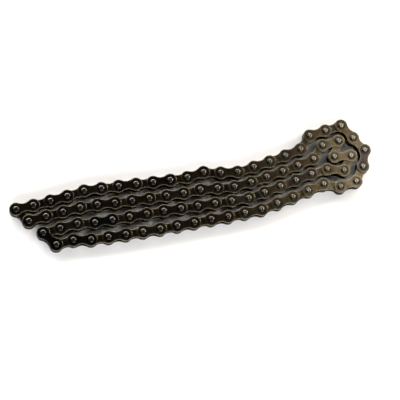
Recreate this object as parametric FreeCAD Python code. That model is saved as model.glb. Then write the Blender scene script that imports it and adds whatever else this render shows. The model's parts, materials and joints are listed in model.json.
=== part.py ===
import FreeCAD, Part
import math
import os

from FreeCAD import Matrix, Vector

# An endless roller chain, folded into four strands and lying on its side, so that every pin is upright.
# Millimetres. +X runs along the strands, +Z is up. The origin is under the middle of the chain, on the
# surface that the lower pin heads stand on.

# Size of the chain: the light 1/2 x 1/8 inch size, with no seal rings.
PITCH = 12.7
INNER_WIDTH = 3.3  # between the inner plates, where a sprocket tooth goes
ROLLER_D = 7.75
PIN_D = 3.66
PLATE_HEIGHT = 9.7
PLATE_WAIST = 6.1
PLATE_THICKNESS = 1.05
BUSH_WALL = 0.75

# Fits
PIN_CLEARANCE = 0.05  # radial, between pin and bush
ROLLER_CLEARANCE = 0.1  # radial, between bush and roller, and at each end of the roller
PLATE_GAP = 0.1  # between an inner plate and the outer plate beside it

# Riveted pin heads
HEAD_D = 4.3
HEAD_FLAT_D = 3.3
HEAD_HEIGHT = 0.55
HEAD_RIM = 0.3  # height of the head's straight rim, under its bevel
DIMPLE_D = 1.3
DIMPLE_DEPTH = 0.35

# Levels that follow from the sizes above
BUSH_D = PIN_D + 2 * (PIN_CLEARANCE + BUSH_WALL)
BUSH_BORE_D = PIN_D + 2 * PIN_CLEARANCE
OVER_INNER = INNER_WIDTH + 2 * PLATE_THICKNESS
INSIDE_OUTER = OVER_INNER + 2 * PLATE_GAP
OVER_OUTER = INSIDE_OUTER + 2 * PLATE_THICKNESS
PIN_LENGTH = OVER_OUTER + 2 * HEAD_HEIGHT
MID_Z = PIN_LENGTH / 2

# How the chain lies. Each run is (links, heading of its first link, heading of its last link), in degrees
# anticlockwise from +X, and the links between turn by even steps. Pin 1 is the far left end of the upper
# strand. Link N joins pin N to pin N + 1, and the odd links are the outer ones.
UPPER_STRAND = ((4, 0, 5), (3, -5, -6), (3, -7, -4), (1, 5, 5), (1, -15, -15), (1, -10, -10), (4, 4, 10))
END_LOOP = ((1, 42, 42), (2, 5, 5), (2, -61, -61), (1, -112, -112), (1, -130, -130), (1, -174, -174))
LOWER_STRAND = ((1, 158, 158), (4, -170, -172), (2, -181, -181), (1, -184, -184), (7, -182, -185))
LEFT_BEND = ((1, -192, -192), (1, -178, -178), (1, -236, -236))
THIRD_STRAND = ((2, 2, 2), (1, -9, -9), (4, -4, -3), (5, -5, -4), (4, 7, 9), (1, 4, 4))
CRUMPLED_END = ((1, -17, -17), (1, 50, 50), (1, 171, 171), (1, 60, 60), (1, 183, 183), (1, 222, 222))
SECOND_STRAND = (
    (4, 189, 186),
    (1, 182, 182),
    (2, 172, 172),
    (1, 179, 179),
    (4, 176, 174),
    (1, 173, 173),
    (1, 177, 177),
    (2, 181, 181),
)
LAY = (
    UPPER_STRAND
    + END_LOOP
    + LOWER_STRAND
    + LEFT_BEND
    + THIRD_STRAND
    + CRUMPLED_END
    + SECOND_STRAND
)

# The middle strands stay one body, and the upper and the lower strand each swing out from it link by link.
# The two strands' free ends meet at one pin, where the loop is opened.
LINKS = 84
FIRST_CORE_LINK = 44
LAST_CORE_LINK = 83
OPEN_PIN = 23
UPPER_BRANCH = [LINKS] + list(range(1, OPEN_PIN))
LOWER_BRANCH = list(range(FIRST_CORE_LINK - 1, OPEN_PIN - 1, -1))
UPPER_END = OPEN_PIN - 1  # the inner link at the upper strand's free end
LOWER_END = OPEN_PIN  # the outer link at the lower strand's free end


def is_outer(link):
    return link % 2 == 1


def headings(runs):
    """The heading of every link of the runs, in degrees."""
    found = []
    for count, first, last in runs:
        step = (last - first) / max(count - 1, 1)
        found += [first + step * i for i in range(count)]
    return found


def closing_pin(before, after):
    """The pin one pitch from each of two others, on the outer side of the bend that it closes."""
    half = (after - before) * 0.5
    across = Vector(half.y, -half.x, 0).normalize()
    return before + half - across * math.sqrt(PITCH**2 - half.Length**2)


def pin_places():
    """The axis of every pin on the ground plane, pin 1 first, with the chain's outline centred on the origin."""
    places = [Vector(0, 0, 0)]
    for heading in headings(LAY):
        angle = math.radians(heading)
        places.append(places[-1] + Vector(math.cos(angle), math.sin(angle), 0) * PITCH)
    places.append(closing_pin(places[-1], places[0]))
    xs = [p.x for p in places]
    ys = [p.y for p in places]
    middle = Vector((min(xs) + max(xs)) / 2, (min(ys) + max(ys)) / 2, 0)
    return [p - middle for p in places]


def cylinder(diameter, low, high):
    return Part.makeCylinder(diameter / 2, high - low, Vector(0, 0, low))


def tube(outer_d, bore_d, low, high):
    return cylinder(outer_d, low, high).cut(cylinder(bore_d, low, high))


def plate(hole_d, low):
    """One figure-of-eight link plate from pin to pin along X, with its two holes, standing on the level low."""
    end = PLATE_HEIGHT / 2
    waist = PLATE_WAIST / 2
    half = PITCH / 2
    # the hollow of the waist is an arc tangent to both round ends
    hollow = (half**2 + waist**2 - end**2) / (2 * (end - waist))
    reach = hollow + end
    touch_x = half - half * end / reach
    touch_y = (waist + hollow) * end / reach
    above = [Vector(touch_x, touch_y, low), Vector(0, waist, low), Vector(-touch_x, touch_y, low)]
    below = [Vector(-p.x, -p.y, low) for p in above]
    edges = [
        Part.Arc(*above).toShape(),
        Part.Arc(above[2], Vector(-half - end, 0, low), below[0]).toShape(),
        Part.Arc(*below).toShape(),
        Part.Arc(below[2], Vector(half + end, 0, low), above[0]).toShape(),
    ]
    body = Part.Face(Part.Wire(edges)).extrude(Vector(0, 0, PLATE_THICKNESS))
    body.translate(Vector(half, 0, 0))
    for x in (0, PITCH):
        hole = cylinder(hole_d, low, low + PLATE_THICKNESS)
        hole.translate(Vector(x, 0, 0))
        body = body.cut(hole)
    return body


def lower_and_upper_plate(hole_d, inside):
    """A link's two plates, whose inner faces are the distance inside apart."""
    return [plate(hole_d, MID_Z - inside / 2 - PLATE_THICKNESS), plate(hole_d, MID_Z + inside / 2)]


def turned_solid(profile):
    """The solid that a profile of (radius, level) points makes round Z."""
    points = [Vector(r, 0, z) for r, z in profile]
    return Part.Face(Part.makePolygon(points + points[:1])).revolve(Vector(0, 0, 0), Vector(0, 0, 1), 360)


def head_profile(face, out):
    """Half of a riveted head on a plate's face: out is 1 for the upper head and -1 for the lower one."""
    return [
        (PIN_D / 2, face),
        (HEAD_D / 2, face),
        (HEAD_D / 2, face + out * HEAD_RIM),
        (HEAD_FLAT_D / 2, face + out * HEAD_HEIGHT),
        (DIMPLE_D / 2, face + out * HEAD_HEIGHT),
        (0, face + out * (HEAD_HEIGHT - DIMPLE_DEPTH)),
    ]


def pin():
    """One whole pin with a riveted head at each end."""
    lower = head_profile(MID_Z - OVER_OUTER / 2, -1)
    upper = head_profile(MID_Z + OVER_OUTER / 2, 1)
    return turned_solid(lower[::-1] + upper)


def opened_pin_ends():
    """The two riveted ends of the pin at which the loop is opened, each cut off at its plate's inner face."""
    ends = []
    for out in (-1, 1):
        inner_face = MID_Z + out * INSIDE_OUTER / 2
        profile = head_profile(MID_Z + out * OVER_OUTER / 2, out)
        ends.append(turned_solid([(0, inner_face), (PIN_D / 2, inner_face)] + profile))
    return ends


def opened_pin_shank():
    """The middle of the opened pin, which stays in its bush."""
    return cylinder(PIN_D, MID_Z - OVER_INNER / 2, MID_Z + OVER_INNER / 2)


def bush():
    return tube(BUSH_D, BUSH_BORE_D, MID_Z - OVER_INNER / 2, MID_Z + OVER_INNER / 2)


def roller():
    half = INNER_WIDTH / 2 - ROLLER_CLEARANCE
    return tube(ROLLER_D, BUSH_D + 2 * ROLLER_CLEARANCE, MID_Z - half, MID_Z + half)


def at_pins(shape):
    """The same shape at both pins of a link."""
    far = shape.copy()
    far.translate(Vector(PITCH, 0, 0))
    return [shape, far]


def link_placement(link, pins):
    """The move that takes a link drawn along X from the origin to its place in the chain."""
    start = pins[link - 1]
    along = pins[link % LINKS] - start
    place = Matrix()
    place.rotateZ(math.atan2(along.y, along.x))
    place.move(start)
    return place


def placed(solids, link, pins):
    place = link_placement(link, pins)
    return [solid.transformed(place) for solid in solids]


def export(name, solids):
    Part.makeCompound(solids).exportStep("parts/" + name + ".step")


def export_core(pins):
    """The middle strands, with every kind of piece in a node of its own."""
    core = range(FIRST_CORE_LINK, LAST_CORE_LINK + 1)
    outer = [link for link in core if is_outer(link)]
    inner = [link for link in core if not is_outer(link)]
    outer_low, outer_high = lower_and_upper_plate(PIN_D, INSIDE_OUTER)
    inner_low, inner_high = lower_and_upper_plate(BUSH_D, INNER_WIDTH)
    kinds = {
        "core_outer_plates_lower": (outer, [outer_low]),
        "core_outer_plates_upper": (outer, [outer_high]),
        "core_inner_plates_lower": (inner, [inner_low]),
        "core_inner_plates_upper": (inner, [inner_high]),
        "core_pins": (outer, at_pins(pin())),
        "core_bushes": (inner, at_pins(bush())),
        "core_rollers": (inner, at_pins(roller())),
    }
    for name, (links, solids) in kinds.items():
        export(name, [piece for link in links for piece in placed(solids, link, pins)])


def export_swinging_links(pins):
    """Every link of the upper and the lower strand but the two at the opened pin."""
    outer = lower_and_upper_plate(PIN_D, INSIDE_OUTER) + at_pins(pin())
    inner = lower_and_upper_plate(BUSH_D, INNER_WIDTH) + at_pins(bush()) + at_pins(roller())
    for link in UPPER_BRANCH + LOWER_BRANCH:
        if link in (UPPER_END, LOWER_END):
            continue
        kind = "outer" if is_outer(link) else "inner"
        export(f"link_{link:02d}_{kind}", placed(outer if is_outer(link) else inner, link, pins))


def export_end_links(pins):
    """The two links at the opened pin, with every kind of piece in a node of its own."""
    inner_name = f"link_{UPPER_END:02d}_inner"
    near_roller, far_roller = at_pins(roller())
    export(inner_name + "_plates", placed(lower_and_upper_plate(BUSH_D, INNER_WIDTH), UPPER_END, pins))
    export(inner_name + "_bushes", placed(at_pins(bush()), UPPER_END, pins))
    export(inner_name + f"_roller_{UPPER_END:02d}", placed([near_roller], UPPER_END, pins))
    export(inner_name + f"_roller_{OPEN_PIN:02d}", placed([far_roller], UPPER_END, pins))
    shank = opened_pin_shank()
    shank.translate(Vector(PITCH, 0, 0))
    export(inner_name + "_opened_shank", placed([shank], UPPER_END, pins))

    outer_name = f"link_{LOWER_END:02d}_outer"
    whole = pin()
    whole.translate(Vector(PITCH, 0, 0))
    export(outer_name + "_plates", placed(lower_and_upper_plate(PIN_D, INSIDE_OUTER), LOWER_END, pins))
    export(outer_name + "_pin", placed([whole], LOWER_END, pins))
    export(outer_name + "_opened_pin_ends", placed(opened_pin_ends(), LOWER_END, pins))


def main():
    os.makedirs("parts", exist_ok=True)
    pins = pin_places()
    export_core(pins)
    export_swinging_links(pins)
    export_end_links(pins)


if __name__ == "__main__":
    main()
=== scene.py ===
"""An endless roller chain, folded into four strands and lying on its side on a pale table."""

import json
import logging
import math
from dataclasses import dataclass, field
from enum import Enum
from typing import Any

import bmesh
import bpy
import numpy as np
from mathutils import Matrix, Vector

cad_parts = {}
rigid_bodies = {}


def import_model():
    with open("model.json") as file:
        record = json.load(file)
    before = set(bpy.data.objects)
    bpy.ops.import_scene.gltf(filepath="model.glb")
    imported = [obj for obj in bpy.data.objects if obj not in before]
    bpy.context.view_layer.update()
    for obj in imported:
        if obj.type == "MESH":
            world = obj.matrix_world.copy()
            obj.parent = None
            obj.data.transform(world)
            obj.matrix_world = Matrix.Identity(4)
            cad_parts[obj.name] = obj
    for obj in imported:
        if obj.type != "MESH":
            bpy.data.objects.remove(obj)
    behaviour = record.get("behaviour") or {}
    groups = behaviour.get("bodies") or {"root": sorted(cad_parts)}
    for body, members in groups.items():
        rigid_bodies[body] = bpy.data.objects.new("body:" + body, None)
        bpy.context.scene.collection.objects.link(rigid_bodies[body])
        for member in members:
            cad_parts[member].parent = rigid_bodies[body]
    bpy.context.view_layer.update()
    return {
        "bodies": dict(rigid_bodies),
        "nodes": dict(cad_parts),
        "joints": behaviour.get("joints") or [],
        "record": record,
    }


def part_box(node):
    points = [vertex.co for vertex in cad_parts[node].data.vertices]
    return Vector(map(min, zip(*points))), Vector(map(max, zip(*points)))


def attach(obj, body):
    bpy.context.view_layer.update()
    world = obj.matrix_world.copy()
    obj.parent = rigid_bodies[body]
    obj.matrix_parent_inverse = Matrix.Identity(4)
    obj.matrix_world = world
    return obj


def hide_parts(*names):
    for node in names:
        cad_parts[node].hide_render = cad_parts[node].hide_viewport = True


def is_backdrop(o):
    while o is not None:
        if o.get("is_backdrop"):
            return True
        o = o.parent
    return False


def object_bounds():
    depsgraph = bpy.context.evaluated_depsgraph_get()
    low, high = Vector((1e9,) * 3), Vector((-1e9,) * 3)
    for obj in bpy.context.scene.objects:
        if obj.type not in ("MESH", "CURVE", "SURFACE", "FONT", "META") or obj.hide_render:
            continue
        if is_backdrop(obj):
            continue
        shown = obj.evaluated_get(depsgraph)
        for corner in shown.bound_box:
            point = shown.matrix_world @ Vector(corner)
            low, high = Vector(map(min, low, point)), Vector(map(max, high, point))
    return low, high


log = logging.getLogger("roller_chain")

MM = 0.001
SHARP_DEG = 50.0  # edges of a part that turn more than this stay sharp

# the sRGB curve: a straight foot below the knee, and a power above it
SRGB_KNEE = 0.04045
SRGB_SLOPE = 12.92
SRGB_OFFSET = 0.055
SRGB_POWER = 2.4

Rgba = tuple[float, float, float, float]
Loop = list[bmesh.types.BMVert]
Socket = bpy.types.NodeSocket
Tree = bpy.types.NodeTree
SectionPoint = tuple[float, float, float, float]  # radius or inset, level, rim mark, seat mark


# --- Colour, node and mesh helpers -------------------------------------------------------------------


def linear(hex_code: str) -> Rgba:
    """Turns an sRGB hex colour into the linear RGBA that sockets take.

    Args:
        hex_code: Six hex digits after a hash.

    Returns:
        Linear red, green, blue and an alpha of 1.
    """
    parts = [int(hex_code[i : i + 2], 16) / 255 for i in (1, 3, 5)]
    red, green, blue = (
        c / SRGB_SLOPE if c <= SRGB_KNEE else ((c + SRGB_OFFSET) / (1 + SRGB_OFFSET)) ** SRGB_POWER
        for c in parts
    )
    return red, green, blue, 1.0


def add_node(
    tree: Tree, kind: str, links: dict[str | int, Socket] | None = None, **settings: Any
) -> bpy.types.Node:
    """Adds a node with its settings and links.

    Args:
        tree: The tree that takes the node.
        kind: The node's bl_idname.
        links: Input name or number to the socket that feeds it.
        **settings: Node properties, or, under "values", input name or number to a plain value.

    Returns:
        The new node.
    """
    node = tree.nodes.new(kind)
    values = settings.pop("values", {})
    for name, value in settings.items():
        setattr(node, name, value)
    for name, value in values.items():
        node.inputs[name].default_value = value
    for name, socket in (links or {}).items():
        tree.links.new(socket, node.inputs[name])
    return node


def ring_points(radius: float, count: int, centre_x: float = 0.0) -> list[tuple[float, float]]:
    """The corners of a regular ring.

    Args:
        radius: The ring's radius.
        count: How many corners.
        centre_x: Where its centre is along X.

    Returns:
        The corners as (x, y), anticlockwise from +X.
    """
    turns = [2 * math.pi * i / count for i in range(count)]
    return [(centre_x + radius * math.cos(a), radius * math.sin(a)) for a in turns]


def new_shape() -> bmesh.types.BMesh:
    """Starts a mesh that holds the two marks which the finishes read.

    Returns:
        The empty mesh.
    """
    shape = bmesh.new()
    for mark in ("rim", "oil_and_shade"):
        shape.verts.layers.float.new(mark)
    return shape


def add_row(
    shape: bmesh.types.BMesh,
    corners: list[tuple[float, float]],
    level: float,
    rim_mark: float,
    oil_and_shade_mark: float,
) -> Loop:
    """Adds a row of corners on one level and marks them.

    Args:
        shape: The mesh that takes them.
        corners: Where they are, as (x, y).
        level: Their height.
        rim_mark: How much they take the rim colour; where it is lighter, partly polish and partly painted
            highlight.
        oil_and_shade_mark: How much they take the near black colour: partly old oil, partly painted shade.

    Returns:
        The row.
    """
    rim = shape.verts.layers.float["rim"]
    oil_and_shade = shape.verts.layers.float["oil_and_shade"]
    row = [shape.verts.new((x, y, level)) for x, y in corners]
    for vert in row:
        vert[rim] = rim_mark
        vert[oil_and_shade] = oil_and_shade_mark
    return row


def link_loops(shape: bmesh.types.BMesh, low: Loop, high: Loop) -> None:
    """Joins two closed loops of as many corners with quads that face outwards for anticlockwise loops.

    Args:
        shape: The mesh that holds them.
        low: The lower or outer loop.
        high: The upper or inner loop.
    """
    count = len(low)
    for i in range(count):
        j = (i + 1) % count
        shape.faces.new((low[i], low[j], high[j], high[i]))


def to_object(shape: bmesh.types.BMesh, name: str, material: bpy.types.Material) -> bpy.types.Object:
    """Turns a mesh whose faces are all in place into a smooth-shaded object.

    Args:
        shape: The mesh, which is freed.
        name: The object's name.
        material: Its finish.

    Returns:
        The object, in the scene.
    """
    bmesh.ops.recalc_face_normals(shape, faces=shape.faces[:])
    mesh = bpy.data.meshes.new(name)
    shape.to_mesh(mesh)
    shape.free()
    mesh.shade_smooth()
    mesh.set_sharp_from_angle(angle=math.radians(SHARP_DEG))
    mesh.materials.append(material)
    obj = bpy.data.objects.new(name, mesh)
    bpy.context.scene.collection.objects.link(obj)
    return obj


# --- Finishes ----------------------------------------------------------------------------------------


@dataclass(frozen=True)
class ChainSteel:
    """Carbon steel of a chain, hardened, tumbled and dipped in oil.

    Each part takes its own tempering colour from a palette. The rims take a colour of their own, lighter on
    the plates and the tubes: partly polish from tumbling, partly a painted highlight of the rounded edges.
    Blotches of dried oil darken the faces. A near black colour is painted round the holes where a pin or a
    bush comes through, partly old oil and partly painted shade, and as painted shade on the plates' edges,
    on the faces that face another part and in hollows.
    """

    name: str
    palette: tuple[str, ...]
    blotch: str
    rim: str
    oil_and_shade: str
    roughness: float
    rim_roughness: float
    blotch_mm: float
    grain_mm: float
    grain_depth_mm: float
    oil_film: float
    blotch_shift: float = 40.0  # how far a part's tone moves the blotches on it
    blotch_detail: float = 3.0
    blotch_roughness: float = 0.6
    blotch_from: float = 0.42  # the noise level where a blotch starts, and where it is full
    blotch_to: float = 0.72
    grain_detail: float = 2.0
    grain_strength: float = 0.5
    film_roughness: float = 0.2

    def build(self) -> bpy.types.Material:
        """Makes the material.

        Returns:
            The material, ready for a mesh's slot.
        """
        material = bpy.data.materials.new(self.name)
        material.use_nodes = True
        tree = material.node_tree
        tree.nodes.clear()
        where = add_node(tree, "ShaderNodeTexCoord").outputs["Object"]
        tone, rim, oil_and_shade = (
            add_node(tree, "ShaderNodeAttribute", attribute_name=name).outputs["Fac"]
            for name in ("tone", "rim", "oil_and_shade")
        )

        # blotches of dried oil a few millimetres wide, moved from part to part by its tone
        shift = add_node(
            tree, "ShaderNodeMath", {0: tone}, operation="MULTIPLY", values={1: self.blotch_shift}
        ).outputs[0]
        stain = add_node(
            tree,
            "ShaderNodeTexNoise",
            {"Vector": where, "W": shift},
            noise_dimensions="4D",
            values={
                "Scale": 1 / (self.blotch_mm * MM),
                "Detail": self.blotch_detail,
                "Roughness": self.blotch_roughness,
            },
        ).outputs["Fac"]
        patch = add_node(
            tree,
            "ShaderNodeMapRange",
            {"Value": stain},
            values={"From Min": self.blotch_from, "From Max": self.blotch_to},
        ).outputs["Result"]
        colour = self._temper(tree, tone)
        # lays on the oil blotches, then the rim colour (where lighter, partly polish and partly painted
        # highlight), then the near black colour (partly old oil, partly painted shade)
        for factor, hex_code in ((patch, self.blotch), (rim, self.rim), (oil_and_shade, self.oil_and_shade)):
            colour = self._blend(tree, factor, colour, hex_code)

        # a fine grain from the tumbling drum
        grain = add_node(
            tree,
            "ShaderNodeTexNoise",
            {"Vector": where},
            values={"Scale": 1 / (self.grain_mm * MM), "Detail": self.grain_detail},
        ).outputs["Fac"]
        rough = add_node(
            tree,
            "ShaderNodeMapRange",
            {"Value": rim},
            values={"To Min": self.roughness, "To Max": self.rim_roughness},
        ).outputs["Result"]
        bump = add_node(
            tree,
            "ShaderNodeBump",
            {"Height": grain},
            values={"Strength": self.grain_strength, "Distance": self.grain_depth_mm * MM},
        ).outputs["Normal"]
        shader = add_node(
            tree,
            "ShaderNodeBsdfPrincipled",
            {"Base Color": colour, "Roughness": rough, "Normal": bump},
            values={
                "Metallic": 1.0,
                "Coat Weight": self.oil_film,
                "Coat Roughness": self.film_roughness,
            },
        )
        add_node(tree, "ShaderNodeOutputMaterial", {"Surface": shader.outputs["BSDF"]})
        return material

    def _temper(self, tree: Tree, tone: Socket) -> Socket:
        """Picks a part's tempering colour from the palette.

        Args:
            tree: The material's tree.
            tone: The part's own number, from 0 to 1.

        Returns:
            The socket with the colour.
        """
        node = add_node(tree, "ShaderNodeValToRGB", {"Fac": tone})
        stops = node.color_ramp.elements
        while len(stops) < len(self.palette):
            stops.new(0.5)  # set in its place below
        for i, hex_code in enumerate(self.palette):
            stops[i].position = i / (len(self.palette) - 1)
            stops[i].color = linear(hex_code)
        return node.outputs["Color"]

    @staticmethod
    def _blend(tree: Tree, factor: Socket, under: Socket, hex_code: str) -> Socket:
        """Lays a colour over the colour so far.

        Args:
            tree: The material's tree.
            factor: 0 for the colour so far and 1 for the new colour.
            under: The colour so far.
            hex_code: The new colour.

        Returns:
            The socket with the blend.
        """
        node = add_node(tree, "ShaderNodeMix", {0: factor}, data_type="RGBA")
        first, second = (socket for socket in node.inputs if socket.type == "RGBA")
        tree.links.new(under, first)
        second.default_value = linear(hex_code)
        return next(socket for socket in node.outputs if socket.type == "RGBA")


# dark brown to olive, with a few blue-black links, from the heat of tempering; gives the chain its mass
BROWNED_PLATE_STEEL = ChainSteel(
    name="tempered_spring_steel_browned_tumbled_oiled",
    palette=("#645c4a", "#54442f", "#625943", "#473629", "#2f3438"),
    blotch="#33261d",
    # lighter rims: partly polish, partly painted highlight of the rounded edges
    rim="#7c7561",
    # near black: painted shade on the edges and on the faces that face another part; round the holes partly
    # old oil, partly painted shade
    oil_and_shade="#0a0806",
    roughness=0.22,
    rim_roughness=0.24,
    blotch_mm=4.0,
    grain_mm=0.35,
    grain_depth_mm=0.02,
    oil_film=0.15,
)
# grey steel under a film of oil, hammered bright in the middle; gives each pivot its pale disc
RIVETED_PIN_STEEL = ChainSteel(
    name="case_hardened_steel_riveted_oiled",
    palette=("#9a9688", "#88847a", "#928e86", "#78746c"),
    blotch="#746f66",
    rim="#7a756a",
    # near black: painted shade round the head's edge and in its dimple, partly old oil
    oil_and_shade="#0f0d0a",
    roughness=0.2,
    rim_roughness=0.24,
    blotch_mm=2.5,
    grain_mm=0.25,
    grain_depth_mm=0.006,
    oil_film=0.15,
)
# ground steel, seen only from the sides and through the gaps; gives a soft round gleam between the plates
ROLLER_STEEL = ChainSteel(
    name="hardened_roller_steel_ground_oiled",
    palette=("#35312b", "#2b2823"),
    blotch="#1c1815",
    # lighter rims at the ends: partly polish, partly painted highlight
    rim="#575045",
    # near black: painted shade in the bore
    oil_and_shade="#0f0c0a",
    roughness=0.28,
    rim_roughness=0.26,
    blotch_mm=3.0,
    grain_mm=0.3,
    grain_depth_mm=0.01,
    oil_film=0.3,
)
# the same steel painted a little darker as shade, since it sits inside the rollers; seen only at their ends
BUSH_STEEL = ChainSteel(
    name="hardened_bush_steel_curled_oiled",
    palette=("#332f2a", "#2a2722"),
    blotch="#1b1714",
    # lighter rims at the ends: partly polish, partly painted highlight
    rim="#4a443b",
    # near black: painted shade in the bore
    oil_and_shade="#0f0c0a",
    roughness=0.34,
    rim_roughness=0.3,
    blotch_mm=2.0,
    grain_mm=0.3,
    grain_depth_mm=0.01,
    oil_film=0.3,
)


# --- The shapes that a chain repeats -----------------------------------------------------------------


# a rim's quarter round, from the edge painted near black as shade to the face painted lighter, partly polish
# and partly painted highlight: turn in degrees, rim mark, seat mark
RIM_MARKS = ((0, 0.0, 0.9), (30, 0.2, 0.4), (60, 0.35, 0.0), (90, 0.7, 0.0))
# the near black ring round a hole, partly old oil and partly painted shade, from the hole outwards: share of
# the seat's width, seat mark
OIL_AND_SHADE_RING_MARKS = ((0.0, 1.0), (0.5, 0.85), (1.0, 0.0))
FLAT_RIM_MARK = 0.8  # the band inside the upper rim, painted lighter: partly polish, partly painted highlight
UNDER_SHADE_MARK = 0.5  # painted shade on the side that faces another part


@dataclass
class LinkPlate:
    """A stamped figure-of-eight plate, drawn round its own middle with its rolled rim facing up."""

    pitch: float
    height: float
    waist: float
    thickness: float
    hole_d: float
    # how far the near black ring, partly old oil and partly painted shade, spreads round each hole
    oil_and_shade_width: float
    outer_rim: float = 0.36 * MM  # rounded by the blanking die and by tumbling
    inner_rim: float = 0.12 * MM
    polish_and_sheen_width: float = 0.95 * MM  # how far in from the outline the face is painted lighter: partly polish, partly painted highlight
    flat_margin: float = 0.05 * MM  # a narrow flat band that keeps the face's shading level
    worn: float = 0.01 * MM  # how far the whole outline has worn in
    arc_steps: int = 9
    hole_steps: int = 18

    def outline(self, inset: float) -> list[tuple[float, float]]:
        """The plate's outline, drawn in by an inset.

        Args:
            inset: How far inside the true outline.

        Returns:
            The points as (x, y), anticlockwise.
        """
        end = self.height / 2 - self.worn
        waist = self.waist / 2 - self.worn
        half = self.pitch / 2
        hollow = (half**2 + waist**2 - end**2) / (2 * (end - waist))
        lean = math.acos(half / (hollow + end))  # at a pin, from the plate's axis to the hollow's centre
        points = []
        for side in (0, 1):
            centre = half * (1 - 2 * side)
            turn = math.pi * side
            sweep = 2 * (math.pi - lean)
            for i in range(2 * self.arc_steps + 1):
                angle = turn - sweep / 2 + sweep * i / (2 * self.arc_steps)
                radius = end - inset
                points.append((centre + radius * math.cos(angle), radius * math.sin(angle)))
            hollow_y = (waist + hollow) * (1 - 2 * side)
            span = math.pi - 2 * lean
            for i in range(1, self.arc_steps):
                angle = turn - lean - span * i / self.arc_steps
                radius = hollow + inset
                points.append((radius * math.cos(angle), hollow_y + radius * math.sin(angle)))
        return points

    def build(self, name: str, material: bpy.types.Material) -> bpy.types.Object:
        """Makes the plate with rounded rims, its two holes and the marks that its finish reads.

        Args:
            name: The object's name.
            material: Its finish.

        Returns:
            The plate, flat on the XY plane and centred in its thickness.
        """
        shape = new_shape()
        top = self.thickness / 2
        levels = [(self.inner_rim + self.flat_margin, -top, 0.0, UNDER_SHADE_MARK)]
        levels += self._rim_profile(self.inner_rim, -1)[::-1]
        levels += self._rim_profile(self.outer_rim, 1)
        levels.append((self.outer_rim + self.flat_margin, top, FLAT_RIM_MARK, 0.0))
        levels.append((self.polish_and_sheen_width, top, 0.0, 0.0))
        rows = [add_row(shape, self.outline(inset), *marks) for inset, *marks in levels]
        for low, high in zip(rows[:-1], rows[1:]):
            link_loops(shape, low, high)
        loops = {-1: [rows[0]], 1: [rows[-1]]}
        for centre in (-self.pitch / 2, self.pitch / 2):
            walls = []
            for face, borders in loops.items():
                hole, oil_and_shade = self._oil_and_shade_rings(shape, centre, face)
                walls.append(hole)
                borders.append(oil_and_shade)
            link_loops(shape, *walls)
        for borders in loops.values():
            edges = [shape.edges.get((loop[i - 1], loop[i])) for loop in borders for i in range(len(loop))]
            bmesh.ops.triangle_fill(shape, edges=edges, use_beauty=True, use_dissolve=False)
        return to_object(shape, name, material)

    def _oil_and_shade_rings(self, shape: bmesh.types.BMesh, centre: float, face: int) -> tuple[Loop, Loop]:
        """Lays the rings of the near black band round one hole on one face: partly old oil, partly painted
        shade.

        Args:
            shape: The plate's mesh.
            centre: Where the hole is along X.
            face: 1 for the upper face and -1 for the lower one.

        Returns:
            The hole's edge and the seat's outer edge.
        """
        rings = []
        for share, mark in OIL_AND_SHADE_RING_MARKS:
            corners = ring_points(self.hole_d / 2 + share * self.oil_and_shade_width, self.hole_steps, centre)
            rings.append(add_row(shape, corners, face * self.thickness / 2, 0.0, mark))
        for inner, outer in zip(rings[:-1], rings[1:]):
            link_loops(shape, *((outer, inner) if face > 0 else (inner, outer)))
        return rings[0], rings[-1]

    def _rim_profile(self, radius: float, face: int) -> list[SectionPoint]:
        """A quarter round from the plate's edge to one face.

        Args:
            radius: The rim's radius.
            face: 1 for the upper face and -1 for the lower one.

        Returns:
            (inset, level, rim mark, seat mark) from the edge, painted near black as shade, to the face.
        """
        profile = []
        for turn, rim_mark, oil_and_shade_mark in RIM_MARKS:
            angle = math.radians(turn)
            inset = radius * (1 - math.cos(angle))
            level = face * (self.thickness / 2 - radius * (1 - math.sin(angle)))
            profile.append((inset, level, rim_mark, oil_and_shade_mark))
        return profile


@dataclass
class TurnedPart:
    """A pin, bush or roller: a profile turned round Z, closed at its poles or open as a tube."""

    profile: list[SectionPoint]
    steps: int = 24
    is_tube: bool = False

    def build(self, name: str, material: bpy.types.Material) -> bpy.types.Object:
        """Turns the profile.

        Args:
            name: The object's name.
            material: Its finish.

        Returns:
            The part, standing along Z.
        """
        shape = new_shape()
        rows = []
        for radius, *marks in self.profile:
            corners = ring_points(radius, self.steps) if radius > 0 else [(0.0, 0.0)]
            rows.append(add_row(shape, corners, *marks))
        pairs = list(zip(rows[:-1], rows[1:]))
        if self.is_tube:
            pairs.append((rows[-1], rows[0]))
        for low, high in pairs:
            if len(low) == 1 or len(high) == 1:
                pole, ring = (low[0], high) if len(low) == 1 else (high[0], low)
                for i in range(self.steps):
                    shape.faces.new((pole, ring[i], ring[(i + 1) % self.steps]))
            else:
                link_loops(shape, low, high)
        return to_object(shape, name, material)


# --- Reading the chain from its frame ----------------------------------------------------------------


WELD = 1e-6  # corners of a node's mesh that are nearer than this are one
PLATE_REACH = 1.3  # a plate is longer than this many pitches, and no other solid is
LEVEL_SLACK = 0.2 * MM  # plates whose tops differ by less than this are on one level


class LinkKind(Enum):
    """The two kinds of link, which take turns along the chain."""

    OUTER = "outer"
    INNER = "inner"


@dataclass(frozen=True)
class Link:
    """Where one link lies: the middle of its two pins and its heading in radians."""

    centre: Vector
    heading: float


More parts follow.
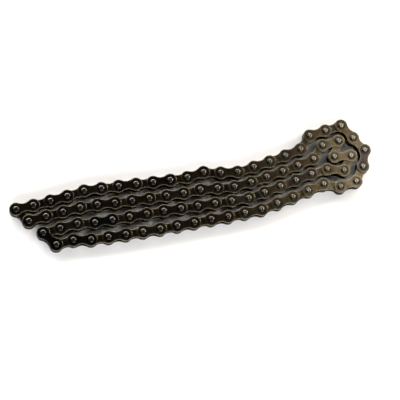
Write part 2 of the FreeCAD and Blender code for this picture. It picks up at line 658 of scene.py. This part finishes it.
def islands(node: bpy.types.Object) -> list[np.ndarray]:
    """The separate solids of a node.

    Args:
        node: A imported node.

    Returns:
        The corners of each solid, one array each.
    """
    shape = bmesh.new()
    shape.from_mesh(node.data)
    bmesh.ops.remove_doubles(shape, verts=shape.verts[:], dist=WELD)
    shape.verts.ensure_lookup_table()
    left = set(shape.verts)
    found = []
    while left:
        front = [left.pop()]
        group = list(front)
        while front:
            near = {e.other_vert(v) for v in front for e in v.link_edges} & left
            left -= near
            front = list(near)
            group += front
        found.append(np.array([v.co[:] for v in group]))
    shape.free()
    return sorted(found, key=lambda points: tuple(points.mean(0).round(6)))


def links_of(node: bpy.types.Object, pitch: float) -> list[Link]:
    """The links whose upper plates a node holds.

    Args:
        node: A node with link plates in it.
        pitch: The distance between a link's pins.

    Returns:
        One link for each upper plate.
    """
    solids = islands(node)
    plates = [s for s in solids if np.hypot(*np.ptp(s[:, :2], axis=0)) > PLATE_REACH * pitch]
    highest = max(s[:, 2].max() for s in plates)
    found = []
    for points in plates:
        if points[:, 2].max() < highest - LEVEL_SLACK:
            continue
        flat = points[:, :2]
        spread, axes = np.linalg.eigh(np.cov((flat - flat.mean(0)).T))
        along = axes[:, spread.argmax()]
        across = np.array([-along[1], along[0]])
        middle = sum(
            axis * (np.dot(flat, axis).min() + np.dot(flat, axis).max()) / 2 for axis in (along, across)
        )
        found.append(Link(Vector((middle[0], middle[1], 0)), math.atan2(along[1], along[0])))
    return found


# --- The chain ---------------------------------------------------------------------------------------


@dataclass(frozen=True)
class Branch:
    """One part of a link, and where the link holds it.

    ends are the places along the link in half pitches, and lift is its height off the link's middle plane.
    A flipped part is turned over about the link's axis, and a loose one sits a little out of level.
    """

    template: bpy.types.Object
    material: bpy.types.Material
    ends: tuple[int, ...] = (0,)
    lift: float = 0.0
    is_flipped: bool = False
    is_loose: bool = False


@dataclass
class LinkSetter:
    """Sets parts out at every link of a piece with Geometry Nodes, and makes the result a plain mesh."""

    pitch: float
    mid_z: float
    lean_deg: float = 0.17  # the play in the gap between plates lets each sit this far out of level
    seed: int = 11
    seed_step: int = 10  # more than the branches of any piece
    sockets: dict[str, str] = field(default_factory=dict)

    def tree(self, name: str, branches: list[Branch]) -> Tree:
        """Builds the tree for one piece.

        Args:
            name: The tree's name.
            branches: The parts that each link of the piece gets.

        Returns:
            The geometry tree, with its sizes as named inputs.
        """
        tree = bpy.data.node_groups.new(name, "GeometryNodeTree")
        face = tree.interface
        face.new_socket("Links", in_out="INPUT", socket_type="NodeSocketGeometry")
        self.sockets = {
            label: face.new_socket(label, in_out="INPUT", socket_type=kind).identifier
            for label, kind in (
                ("Half Pitch", "NodeSocketFloat"),
                ("Lean", "NodeSocketFloat"),
                ("Seed", "NodeSocketInt"),
            )
        }
        face.new_socket("Parts", in_out="OUTPUT", socket_type="NodeSocketGeometry")
        inputs = add_node(tree, "NodeGroupInput").outputs
        heading = add_node(
            tree, "GeometryNodeInputNamedAttribute", data_type="FLOAT", values={"Name": "heading"}
        ).outputs["Attribute"]
        join = add_node(tree, "GeometryNodeJoinGeometry")
        number = 0
        for branch in branches:
            for end in branch.ends:
                number += 1
                tree.links.new(self._branch(tree, inputs, heading, branch, end, number), join.inputs[0])
        add_node(tree, "NodeGroupOutput", {0: join.outputs[0]})
        return tree

    def _branch(
        self,
        tree: Tree,
        inputs: bpy.types.NodeOutputs,
        heading: Socket,
        branch: Branch,
        end: int,
        number: int,
    ) -> Socket:
        """Adds the nodes that set one part out.

        Args:
            tree: The tree.
            inputs: The group input's sockets.
            heading: Each link's heading.
            branch: The part.
            end: Its place along the link, in half pitches.
            number: Makes its random draws its own.

        Returns:
            The socket with the finished parts.
        """
        seed = add_node(
            tree, "ShaderNodeMath", {0: inputs["Seed"]}, operation="ADD", values={1: float(number)}
        ).outputs[0]
        angles = add_node(
            tree,
            "ShaderNodeCombineXYZ",
            {"Z": heading},
            values={"X": math.pi if branch.is_flipped else 0.0},
        ).outputs[0]
        turned = add_node(tree, "FunctionNodeEulerToRotation", {0: angles}).outputs[0]
        template = add_node(
            tree, "GeometryNodeObjectInfo", values={"Object": branch.template}
        ).outputs["Geometry"]
        placed = add_node(
            tree,
            "GeometryNodeInstanceOnPoints",
            {"Points": inputs["Links"], "Instance": template, "Rotation": turned},
        ).outputs[0]
        along = add_node(
            tree, "ShaderNodeMath", {0: inputs["Half Pitch"]}, operation="MULTIPLY", values={1: float(end)}
        ).outputs[0]
        offset = add_node(
            tree, "ShaderNodeCombineXYZ", {"X": along}, values={"Z": branch.lift}
        ).outputs[0]
        moved = add_node(
            tree,
            "GeometryNodeTranslateInstances",
            {"Instances": placed, "Translation": offset},
            values={"Local Space": True},
        ).outputs[0]
        if branch.is_loose:
            moved = self._lean(tree, inputs["Lean"], seed, moved)
        tone = add_node(tree, "FunctionNodeRandomValue", {"Seed": seed}, data_type="FLOAT")
        tone_value = next(s for s in tone.outputs if s.type == "VALUE" and s.enabled)
        marked = add_node(
            tree,
            "GeometryNodeStoreNamedAttribute",
            {"Geometry": moved, "Value": tone_value},
            data_type="FLOAT",
            domain="INSTANCE",
            values={"Name": "tone"},
        ).outputs[0]
        real = add_node(tree, "GeometryNodeRealizeInstances", {0: marked}).outputs[0]
        return add_node(
            tree, "GeometryNodeSetMaterial", {"Geometry": real}, values={"Material": branch.material}
        ).outputs[0]

    @staticmethod
    def _lean(tree: Tree, most: Socket, seed: Socket, parts: Socket) -> Socket:
        """Adds the nodes that tip each part a little, at random.

        Args:
            tree: The tree.
            most: The largest lean about either axis, in radians.
            seed: Makes the draws the branch's own.
            parts: The parts to tip.

        Returns:
            The socket with the tipped parts.
        """
        least = add_node(
            tree, "ShaderNodeMath", {0: most}, operation="MULTIPLY", values={1: -1.0}
        ).outputs[0]
        lean = add_node(tree, "FunctionNodeRandomValue", {"Seed": seed}, data_type="FLOAT_VECTOR")
        for socket, source in zip((s for s in lean.inputs if s.type == "VECTOR"), (least, most)):
            bound = add_node(tree, "ShaderNodeCombineXYZ", {"X": source, "Y": source}).outputs[0]
            tree.links.new(bound, socket)
        turn = add_node(tree, "FunctionNodeEulerToRotation", {0: lean.outputs[0]}).outputs[0]
        return add_node(
            tree,
            "GeometryNodeRotateInstances",
            {"Instances": parts, "Rotation": turn},
            values={"Local Space": True},
        ).outputs[0]

    def piece(
        self, name: str, number: int, links: list[Link], branches: list[Branch]
    ) -> bpy.types.Object:
        """Makes one plain mesh of a piece's parts.

        Args:
            name: The piece's name.
            number: Gives the piece random draws of its own.
            links: Where its links lie.
            branches: The parts that each link gets.

        Returns:
            The piece, at the origin, with its place in its mesh.
        """
        points = bpy.data.meshes.new(name + "_links")
        points.from_pydata([(link.centre.x, link.centre.y, self.mid_z) for link in links], [], [])
        headings = points.attributes.new("heading", "FLOAT", "POINT")
        headings.data.foreach_set("value", [link.heading for link in links])
        host = bpy.data.objects.new(name + "_links", points)
        bpy.context.scene.collection.objects.link(host)
        modifier = host.modifiers.new("links", "NODES")
        modifier.node_group = self.tree(name, branches)
        modifier[self.sockets["Half Pitch"]] = self.pitch / 2
        modifier[self.sockets["Lean"]] = math.radians(self.lean_deg)
        modifier[self.sockets["Seed"]] = self.seed + self.seed_step * number
        evaluated = host.evaluated_get(bpy.context.evaluated_depsgraph_get())
        mesh = bpy.data.meshes.new_from_object(evaluated)
        mesh.name = name
        tree = modifier.node_group
        bpy.data.objects.remove(host)
        bpy.data.meshes.remove(points)
        bpy.data.node_groups.remove(tree)
        piece = bpy.data.objects.new(name, mesh)
        bpy.context.scene.collection.objects.link(piece)
        return piece


Recipe = tuple[list[Link], list[Branch]]  # the links of one piece, and the parts that each of them gets

SINK = 0.02 * MM  # a head starts this far inside its plate's face, so that no slit shows
BEVEL = 0.3  # the middle of a rounded rim lies this share of its radius in from both faces

# a pin head's worn rim and dome, its edge painted near black as shade and old oil: mm in from its edge,
# mm down from its top, rim mark, seat mark
HEAD_DOME = ((0.1, 0.25, 0.0, 1.0), (0.3, 0.15, 0.2, 0.6), (0.5, 0.07, 0.3, 0.1), (0.95, 0.015, 0.0, 0.0))
# the punched dimple, painted darker towards its bottom as shade: radius in mm, mm down from the top, rim
# mark, seat mark
HEAD_DIMPLE = ((0.7, 0.0, 0.0, 0.0), (0.45, 0.04, 0.0, 0.15), (0.0, 0.09, 0.0, 0.4))


@dataclass
class RollerChain:
    """The whole chain: its sizes, the shapes that it repeats and its links."""

    frame: dict
    pitch: float = 12.7 * MM
    plate_height: float = 9.7 * MM
    plate_waist: float = 6.1 * MM
    plate_thickness: float = 1.05 * MM
    inner_width: float = 3.3 * MM
    plate_gap: float = 0.1 * MM
    pin_d: float = 3.66 * MM
    pin_clearance: float = 0.05 * MM
    bush_wall: float = 0.75 * MM
    roller_d: float = 7.75 * MM
    roller_clearance: float = 0.1 * MM
    head_d: float = 4.3 * MM
    head_height: float = 0.55 * MM
    head_wall: float = 0.2 * MM  # the upright part of the head's edge
    bush_rim: float = 0.12 * MM
    roller_rim: float = 0.3 * MM
    outer_oil_and_shade_width: float = 1.5 * MM  # how far the near black ring, partly old oil and partly painted shade, spreads round a pin, and round a bush
    inner_oil_and_shade_width: float = 0.6 * MM
    bush_d: float = field(init=False)
    over_inner: float = field(init=False)
    inside_outer: float = field(init=False)
    over_outer: float = field(init=False)
    mid_z: float = field(init=False)
    setter: LinkSetter = field(init=False)
    templates: dict[str, tuple[bpy.types.Object, bpy.types.Material]] = field(default_factory=dict)

    def __post_init__(self) -> None:
        """Works out what follows from the sizes."""
        self.bush_d = self.pin_d + 2 * (self.pin_clearance + self.bush_wall)
        self.over_inner = self.inner_width + 2 * self.plate_thickness
        self.inside_outer = self.over_inner + 2 * self.plate_gap
        self.over_outer = self.inside_outer + 2 * self.plate_thickness
        self.mid_z = (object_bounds()[0].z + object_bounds()[1].z) / 2
        self.setter = LinkSetter(self.pitch, self.mid_z)

    def make_templates(self) -> None:
        """Makes each shape that the chain repeats, once, with its finish."""
        plate_steel = BROWNED_PLATE_STEEL.build()
        pin_steel = RIVETED_PIN_STEEL.build()
        bush_steel = BUSH_STEEL.build()
        roller_steel = ROLLER_STEEL.build()
        for name, hole_d, oil_and_shade in (
            ("outer_plate", self.pin_d, self.outer_oil_and_shade_width),
            ("inner_plate", self.bush_d, self.inner_oil_and_shade_width),
        ):
            plate = LinkPlate(
                self.pitch, self.plate_height, self.plate_waist, self.plate_thickness, hole_d, oil_and_shade
            )
            self.templates[name] = plate.build("template_" + name, plate_steel), plate_steel
        head = self._head_profile()
        foot = [(radius, -level, rim, oil_and_shade) for radius, level, rim, oil_and_shade in head[::-1]]
        half_inner = self.over_inner / 2
        half_roller = self.inner_width / 2 - self.roller_clearance
        pin_bore = self.pin_d + 2 * self.pin_clearance
        bush_bore = self.bush_d + 2 * self.roller_clearance
        bush = self._tube_profile(self.bush_d, pin_bore, half_inner, self.bush_rim)
        roller = self._tube_profile(self.roller_d, bush_bore, half_roller, self.roller_rim)
        for name, profile, steel, is_tube in (
            ("pin", foot + head, pin_steel, False),
            ("upper_pin_end", self._pin_face(self.inside_outer / 2) + head, pin_steel, False),
            ("shank", self._pin_face(-half_inner) + self._pin_face(half_inner)[::-1], pin_steel, False),
            ("bush", bush, bush_steel, True),
            ("roller", roller, roller_steel, True),
        ):
            part = TurnedPart(profile, is_tube=is_tube)
            self.templates[name] = part.build("template_" + name, steel), steel

    def _pin_face(self, level: float) -> list[SectionPoint]:
        """A pin cut off square: its middle and its edge on one level."""
        return [(0.0, level, 0.0, 0.0), (self.pin_d / 2, level, 0.0, 0.0)]

    def _head_profile(self) -> list[SectionPoint]:
        """The upper half of a pin: a riveted head with a rounded rim and a punched dimple.

        Returns:
            The section from just inside the plate's face to the middle of the dimple.
        """
        face = self.over_outer / 2
        top = face + self.head_height
        head_r = self.head_d / 2
        dome = [(head_r - inward * MM, top - down * MM, rim, oil_and_shade) for inward, down, rim, oil_and_shade in HEAD_DOME]
        dimple = [(radius * MM, top - down * MM, rim, oil_and_shade) for radius, down, rim, oil_and_shade in HEAD_DIMPLE]
        # the head's side and its foot at the plate are painted near black: partly old oil, partly painted
        # shade
        edge = [
            (self.pin_d / 2, face - SINK, 0.0, 1.0),
            (head_r, face, 0.0, 1.0),
            (head_r, face + self.head_wall, 0.0, 1.0),
        ]
        return edge + dome + dimple

    @staticmethod
    def _tube_profile(outer_d: float, bore_d: float, half: float, rim: float) -> list[SectionPoint]:
        """A tube's section as a loop of points, with rounded outer rims.

        Args:
            outer_d: Outer diameter.
            bore_d: Bore diameter.
            half: Half its length.
            rim: Radius of the outer rims.

        Returns:
            (radius, level, rim mark, seat mark) round the section.
        """
        outer = outer_d / 2
        # the rounded outer rims are painted lighter, partly polish and partly painted highlight; the bore's
        # edge is painted darker as shade
        upper = [
            (outer, half - rim, 0.3, 0.0),
            (outer - BEVEL * rim, half - BEVEL * rim, 1.0, 0.0),
            (outer - rim, half, 0.5, 0.0),
            (bore_d / 2, half, 0.0, 0.5),
        ]
        lower = [(radius, -level, rim_mark, oil_and_shade_mark) for radius, level, rim_mark, oil_and_shade_mark in upper[::-1]]
        return lower + upper

    def branch(
        self, template: str, ends: tuple[int, ...] = (0,), lift: float = 0.0, flip: bool = False
    ) -> Branch:
        """A branch for one of the chain's templates. The plates are loose.

        Args:
            template: The template's name.
            ends: Its places along the link, in half pitches.
            lift: Its height off the link's middle plane.
            flip: Whether it is turned over.

        Returns:
            The branch.
        """
        shape, steel = self.templates[template]
        return Branch(shape, steel, ends, lift, flip, is_loose="plate" in template)

    def plates(self, kind: LinkKind, upper: bool = True, lower: bool = True) -> list[Branch]:
        """The branches for a link's plates.

        Args:
            kind: Outer or inner link.
            upper: Whether to set the upper plate.
            lower: Whether to set the lower plate.

        Returns:
            One branch for each plate.
        """
        inside = self.inside_outer if kind is LinkKind.OUTER else self.inner_width
        lift = (inside + self.plate_thickness) / 2
        name = kind.value + "_plate"
        chosen = [self.branch(name, lift=lift)] if upper else []
        if lower:
            chosen.append(self.branch(name, lift=lift, flip=True))
        return chosen

    def _recipes(self) -> dict[str, Recipe]:
        """Finds what each piece is made of.

        Returns:
            Node name to its links and the parts that each of them gets.
        """
        both = (-1, 1)
        pins = [self.branch("pin", both)]
        bushes = [self.branch("bush", both)]
        rollers = [self.branch("roller", both)]
        nodes = self.frame["nodes"]
        core_outer = links_of(nodes["core_outer_plates_upper"], self.pitch)
        core_inner = links_of(nodes["core_inner_plates_upper"], self.pitch)
        recipes = {
            "core_outer_plates_upper": (core_outer, self.plates(LinkKind.OUTER, lower=False)),
            "core_outer_plates_lower": (core_outer, self.plates(LinkKind.OUTER, upper=False)),
            "core_inner_plates_upper": (core_inner, self.plates(LinkKind.INNER, lower=False)),
            "core_inner_plates_lower": (core_inner, self.plates(LinkKind.INNER, upper=False)),
            "core_pins": (core_outer, pins),
            "core_bushes": (core_inner, bushes),
            "core_rollers": (core_inner, rollers),
        }
        for node in sorted(nodes):
            if node.endswith("_outer"):
                recipes[node] = links_of(nodes[node], self.pitch), self.plates(LinkKind.OUTER) + pins
            elif node.endswith("_inner"):
                whole = self.plates(LinkKind.INNER) + bushes + rollers
                recipes[node] = links_of(nodes[node], self.pitch), whole
            elif node.endswith("outer_plates"):
                recipes[node] = links_of(nodes[node], self.pitch), self.plates(LinkKind.OUTER)
            elif node.endswith("inner_plates"):
                end_inner = links_of(nodes[node], self.pitch)
                recipes[node] = end_inner, self.plates(LinkKind.INNER)
                recipes[node.replace("plates", "bushes")] = end_inner, bushes
        for ending, branches in (
            ("outer_pin", [self.branch("pin")]),
            ("opened_shank", [self.branch("shank")]),
            ("opened_pin_ends", [self.branch("upper_pin_end"), self.branch("upper_pin_end", flip=True)]),
            ("roller_22", [self.branch("roller")]),
            ("roller_23", [self.branch("roller")]),
        ):
            node = next(n for n in nodes if n.endswith(ending))
            low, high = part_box(node)
            recipes[node] = [Link((low + high) / 2, 0.0)], branches
        return recipes

    def build(self) -> list[bpy.types.Object]:
        """Makes every piece, each in place of one node.

        Returns:
            The pieces.
        """
        self.make_templates()
        recipes = self._recipes()
        made = [self._dress(node, number, recipes[node]) for number, node in enumerate(sorted(recipes))]
        for shape, _ in self.templates.values():
            bpy.data.objects.remove(shape)
        return made

    def _dress(self, node: str, number: int, recipe: Recipe) -> bpy.types.Object:
        """Makes one node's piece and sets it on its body.

        Args:
            node: The node that the piece stands for.
            number: The node's place in the list of pieces.
            recipe: Its links and their parts.

        Returns:
            The piece.
        """
        links, branches = recipe
        piece = self.setter.piece(node + "_finished", number, links, branches)
        members = self.frame["record"]["behaviour"]["bodies"]
        body = next(name for name, held in members.items() if node in held)
        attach(piece, body)
        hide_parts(node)
        faces = len(piece.data.polygons)
        log.info("%s: %d links, %d faces, rides on %s", piece.name, len(links), faces, body)
        return piece


# --- The studio --------------------------------------------------------------------------------------


@dataclass(frozen=True)
class Softbox:
    """A round soft lamp that faces the middle of the table.

    side and back are its place in the picture's own directions, and height is its place over the table, all
    in metres.
    """

    name: str
    side: float
    back: float
    height: float
    size: float
    power: float
    tint: str

    def hang(self, right: Vector, up: Vector) -> None:
        """Hangs the lamp.

        Args:
            right: The direction on the table that points right in the picture.
            up: The direction on the table that points up in the picture.
        """
        light = bpy.data.lights.new(self.name, "AREA")
        light.shape = "DISK"
        light.size = self.size
        light.energy = self.power
        light.color = linear(self.tint)[:3]
        lamp = bpy.data.objects.new(self.name, light)
        lamp.location = right * self.side + up * self.back + Vector((0, 0, self.height))
        lamp.rotation_euler = (-lamp.location).to_track_quat("-Z", "Y").to_euler()
        bpy.context.scene.collection.objects.link(lamp)


# a warm sheen over the chain's right end, where the browned plates mirror it
OVERHEAD_SOFTBOX = Softbox(
    name="overhead_softbox", side=0.38, back=0.23, height=0.8, size=0.22, power=0.55, tint="#fff8ec"
)
# a low warm lamp behind the right end, which draws bright arcs on the rims and the pin heads
RIM_SOFTBOX = Softbox(
    name="rim_softbox", side=0.9, back=0.6, height=0.55, size=0.45, power=7.0, tint="#ffedd6"
)


@dataclass
class Studio:
    """A pale table top, soft lamps, and a camera that looks down almost squarely."""

    target: Vector = field(default_factory=lambda: Vector((1.95 * MM, -5.42 * MM, 0)))
    distance: float = 1.1
    lens_mm: float = 134.63
    clip_start: float = 0.01
    roll_deg: float = 14.7
    tilt_deg: float = 15.0
    side_deg: float = 25.0  # how far round to the left of the picture's near side the camera stands
    table_size: float = 6.0
    table_drop: float = 0.02 * MM  # keeps the table's face off the lowest pin heads
    table_colour: str = "#f4f4f4"
    table_roughness: float = 0.9
    wall_foot_deg: float = 23.0
    wall_top_deg: float = 46.0
    wall_glow: float = 8.2
    near_share: float = 0.95  # how bright the wall on the camera's side is, against the far one
    haze_glow: float = 0.7
    ceiling_glow: float = 0.01
    soft_edge: float = 0.07  # half the width of a wall's soft foot and top, as a share of the sky's radius
    wall_ends: tuple[float, float] = (0.45, 0.75)  # a wall is out at the first, and full from the second on
    near_blend: float = 0.3  # half the width over which the near side's share passes into the far side's

    def axes(self) -> tuple[Vector, Vector]:
        """The directions on the table that point right and up in the picture."""
        right = Vector((math.cos(math.radians(self.roll_deg)), -math.sin(math.radians(self.roll_deg)), 0))
        return right, Vector((-right.y, right.x, 0))

    def build(self) -> None:
        """Sets the table, the lamps, the surroundings and the camera."""
        self._table()
        for lamp in (OVERHEAD_SOFTBOX, RIM_SOFTBOX):
            lamp.hang(*self.axes())
        self._tent()
        self._camera()

    def _table(self) -> None:
        """Lays a wide matt table top under the chain."""
        bpy.ops.mesh.primitive_plane_add(size=self.table_size, location=(0, 0, -self.table_drop))
        table = bpy.context.object
        table.name = "table_top"
        material = bpy.data.materials.new("white_matt_paper")
        material.use_nodes = True
        shader = material.node_tree.nodes["Principled BSDF"]
        shader.inputs["Base Color"].default_value = linear(self.table_colour)
        shader.inputs["Roughness"].default_value = self.table_roughness
        table.data.materials.append(material)
        table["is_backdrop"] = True

    @staticmethod
    def _fade(tree: Tree, value: Socket, span: tuple[float, float], ends: tuple[float, float]) -> Socket:
        """Adds a node that fades smoothly from one strength to another.

        Args:
            tree: The world's tree.
            value: What steers the fade.
            span: The value where it starts and where it is over.
            ends: The strength before and after.

        Returns:
            The socket with the strength.
        """
        return add_node(
            tree,
            "ShaderNodeMapRange",
            {"Value": value},
            interpolation_type="SMOOTHSTEP",
            values={"From Min": span[0], "From Max": span[1], "To Min": ends[0], "To Max": ends[1]},
        ).outputs["Result"]

    def _tent(self) -> None:
        """Surrounds the table with bright walls under a dark ceiling.

        The walls stand along the chain's two long sides. They light the open table evenly, but hardly reach
        down between the strands. Flat faces mirror the dark ceiling, and rounded rims catch the walls. A pale
        haze fills the tent below and beside the walls.
        """
        world = bpy.data.worlds.new("light_tent")
        world.use_nodes = True
        tree = world.node_tree
        backdrop = tree.nodes["Background"]
        where = add_node(tree, "ShaderNodeTexCoord").outputs["Generated"]
        parts = add_node(tree, "ShaderNodeSeparateXYZ", {0: where}).outputs
        across = add_node(tree, "ShaderNodeMath", {0: parts["Y"]}, operation="ABSOLUTE").outputs[0]
        rises = (math.sin(math.radians(angle)) for angle in (self.wall_foot_deg, self.wall_top_deg))
        foot, top = ((rise - self.soft_edge, rise + self.soft_edge) for rise in rises)
        walls = self._fade(tree, parts["Z"], foot, (0.0, self.wall_glow))
        for value, span, ends in (
            (parts["Z"], top, (1.0, 0.0)),
            (across, self.wall_ends, (0.0, 1.0)),
            (parts["Y"], (-self.near_blend, self.near_blend), (self.near_share, 1.0)),
        ):
            share = self._fade(tree, value, span, ends)
            walls = add_node(tree, "ShaderNodeMath", {0: walls, 1: share}, operation="MULTIPLY").outputs[0]
        haze = self._fade(tree, parts["Z"], foot, (self.haze_glow, self.ceiling_glow))
        glow = add_node(tree, "ShaderNodeMath", {0: walls, 1: haze}, operation="ADD").outputs[0]
        tree.links.new(glow, backdrop.inputs["Strength"])
        backdrop.inputs["Color"].default_value = linear("#ffffff")
        bpy.context.scene.world = world

    def _camera(self) -> None:
        """Puts the camera above the chain, a little to its near left."""
        right, up = self.axes()
        side = math.radians(self.side_deg)
        tilt = math.radians(self.tilt_deg)
        near = -up * math.cos(side) - right * math.sin(side)
        back = near * math.sin(tilt) + Vector((0, 0, math.cos(tilt)))
        across = up.cross(back).normalized()
        above = back.cross(across)
        turn = Matrix((across, above, back)).transposed()
        data = bpy.data.cameras.new("camera")
        data.lens = self.lens_mm
        data.clip_start = self.clip_start
        camera = bpy.data.objects.new("camera", data)
        camera.matrix_world = Matrix.Translation(self.target + back * self.distance) @ turn.to_4x4()
        bpy.context.scene.collection.objects.link(camera)
        bpy.context.scene.camera = camera


def main() -> None:
    """Builds the chain on its frame, then the studio."""
    logging.basicConfig(level=logging.INFO, format="%(message)s")
    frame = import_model()
    pieces = RollerChain(frame).build()
    log.info("the chain has %d pieces", len(pieces))
    Studio().build()
    bpy.context.scene.view_settings.view_transform = "Standard"


if __name__ == "__main__":
    main()
